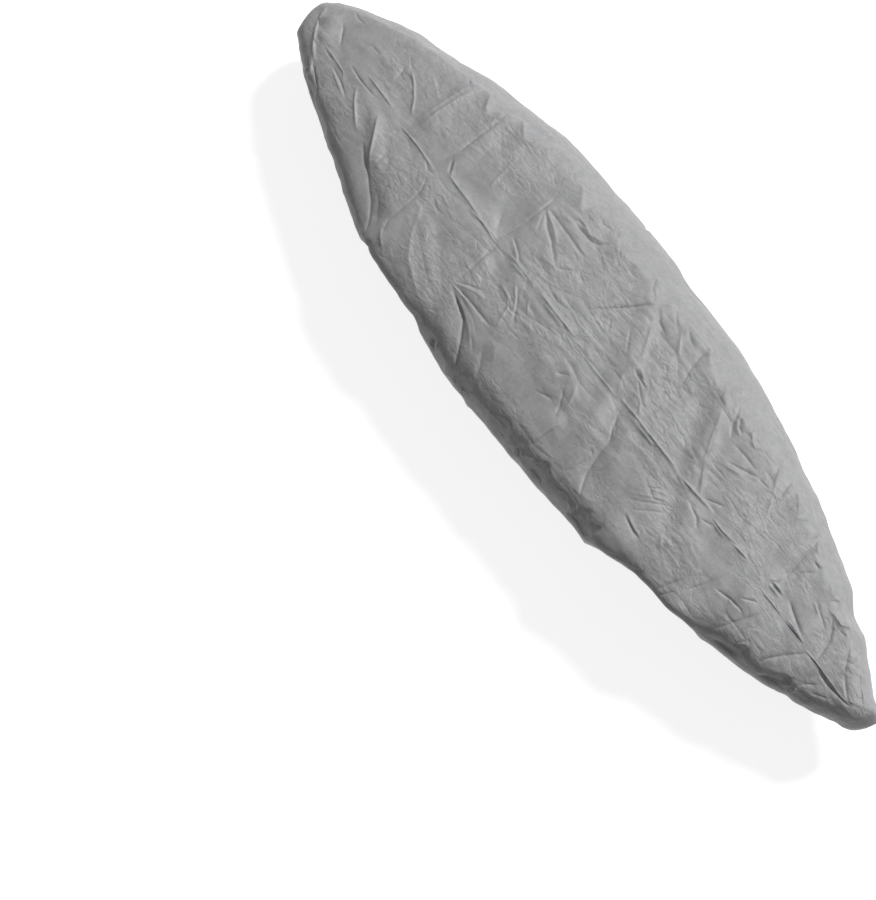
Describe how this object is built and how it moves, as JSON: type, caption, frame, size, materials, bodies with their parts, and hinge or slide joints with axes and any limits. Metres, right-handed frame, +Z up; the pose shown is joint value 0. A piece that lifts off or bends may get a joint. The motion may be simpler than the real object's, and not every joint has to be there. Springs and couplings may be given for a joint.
{
  "type": "kayak cover",
  "caption": "Fitted leaf-shaped storage cover for a small sit-on kayak, with a gathered elastic hem and buckled webbing straps across the open underside.",
  "frame": {"origin": "below the middle of the cover's box, level with the lowest point of the hanging straps", "axes": "+X along the cover towards its pointed end, +Y across it towards the straps' buckles, +Z up through the deck side"},
  "size_m": [3.1, 0.8408, 0.356],
  "materials": {
    "cover_cloth": "matte, creased, coated plain weave",
    "strap_webbing": "matte woven polyester webbing",
    "buckle_plastic": "satin moulded plastic"
  },
  "bodies": {
    "root": {"cover": "cover_cloth", "strap_1_short": "strap_webbing", "strap_1_socket": "buckle_plastic", "strap_1_plug": "buckle_plastic", "strap_1_long": "strap_webbing", "strap_2_short": "strap_webbing", "strap_2_socket": "buckle_plastic", "strap_2_plug": "buckle_plastic", "strap_2_long": "strap_webbing", "strap_3_short": "strap_webbing", "strap_3_socket": "buckle_plastic", "strap_3_plug": "buckle_plastic", "strap_3_long": "strap_webbing"}
  },
  "joints": []
}
